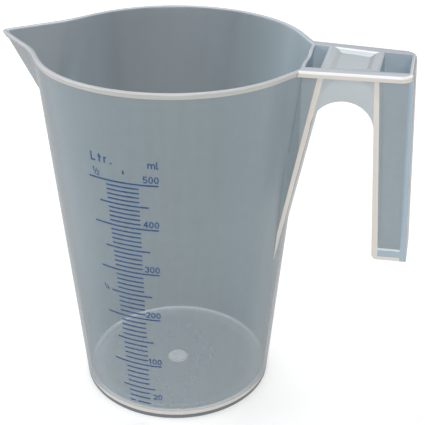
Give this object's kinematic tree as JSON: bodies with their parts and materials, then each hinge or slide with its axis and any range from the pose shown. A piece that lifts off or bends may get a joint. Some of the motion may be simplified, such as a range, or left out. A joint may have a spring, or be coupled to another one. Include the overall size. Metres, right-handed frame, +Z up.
{
  "type": "measuring jug",
  "caption": "Translucent plastic measuring jug with a pouring spout, a beaded rim, an open-topped hollow handle with a thumb rest and a printed millilitre scale.",
  "frame": {"origin": "centre of the foot ring, on the surface that the jug stands on, which is on the axis of the vessel", "axes": "+Z up along the vessel's axis, +X towards the handle, so -X is the spout and the printed scale faces -Y"},
  "size_m": [0.1507, 0.097, 0.1356],
  "materials": {
    "polypropylene": "moulded natural polypropylene, translucent, satin gloss",
    "polypropylene_edge": "the same moulding where it is thick: rim bead, flange and foot, milky",
    "printed_ink": "blue pad-printed ink"
  },
  "bodies": {
    "root": {"base_floor": "polypropylene", "foot_ring": "polypropylene_edge", "gate_mark": "polypropylene_edge", "lower_wall": "polypropylene", "upper_wall": "polypropylene", "spout": "polypropylene", "near_rim_bead": "polypropylene_edge", "far_rim_bead": "polypropylene_edge", "spout_lip": "polypropylene_edge", "rim_bridge": "polypropylene_edge", "near_rail": "polypropylene_edge", "far_rail": "polypropylene_edge", "thumb_platform": "polypropylene", "near_cheek": "polypropylene", "far_cheek": "polypropylene", "handle_web": "polypropylene", "leg_inner_wall": "polypropylene", "leg_end_wall": "polypropylene", "leg_floor": "polypropylene", "graduations_hundreds": "printed_ink", "graduations_fifties": "printed_ink", "graduations_tens": "printed_ink", "numerals": "printed_ink", "millilitre_sign": "printed_ink", "litre_sign": "printed_ink", "half_litre_sign": "printed_ink", "quarter_litre_sign": "printed_ink", "centre_mark": "printed_ink"}
  },
  "joints": []
}
